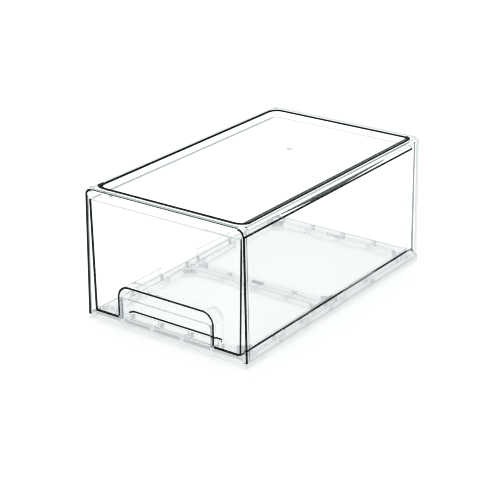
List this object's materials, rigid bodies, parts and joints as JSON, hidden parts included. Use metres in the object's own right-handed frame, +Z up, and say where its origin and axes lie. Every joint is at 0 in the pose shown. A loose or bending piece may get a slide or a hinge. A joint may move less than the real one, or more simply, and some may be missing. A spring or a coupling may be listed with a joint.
{
  "type": "stackable drawer box",
  "caption": "Clear moulded drawer box for stacking: an open-fronted case, a windowed frame clipped into its foot, and a sliding tray with a finger pull.",
  "frame": {"origin": "middle of the footprint, on the surface that the six stacking lugs stand on", "axes": "+Z up, +X to the right of someone facing the drawer, -Y out of the front, where the drawer opens"},
  "size_m": [0.2066, 0.342, 0.1475],
  "materials": {
    "clear_case": "polished clear polystyrene",
    "clear_frame": "polished clear polystyrene",
    "clear_drawer": "polished clear polystyrene"
  },
  "bodies": {
    "case": {"housing_shell": "clear_case", "base_frame": "clear_frame"},
    "drawer": {"drawer_tray": "clear_drawer"}
  },
  "joints": [
    {"name": "drawer_slide", "type": "slide", "parent": "case", "child": "drawer", "axis": [0, -1, 0], "range_m": [0, 0.157]}
  ]
}
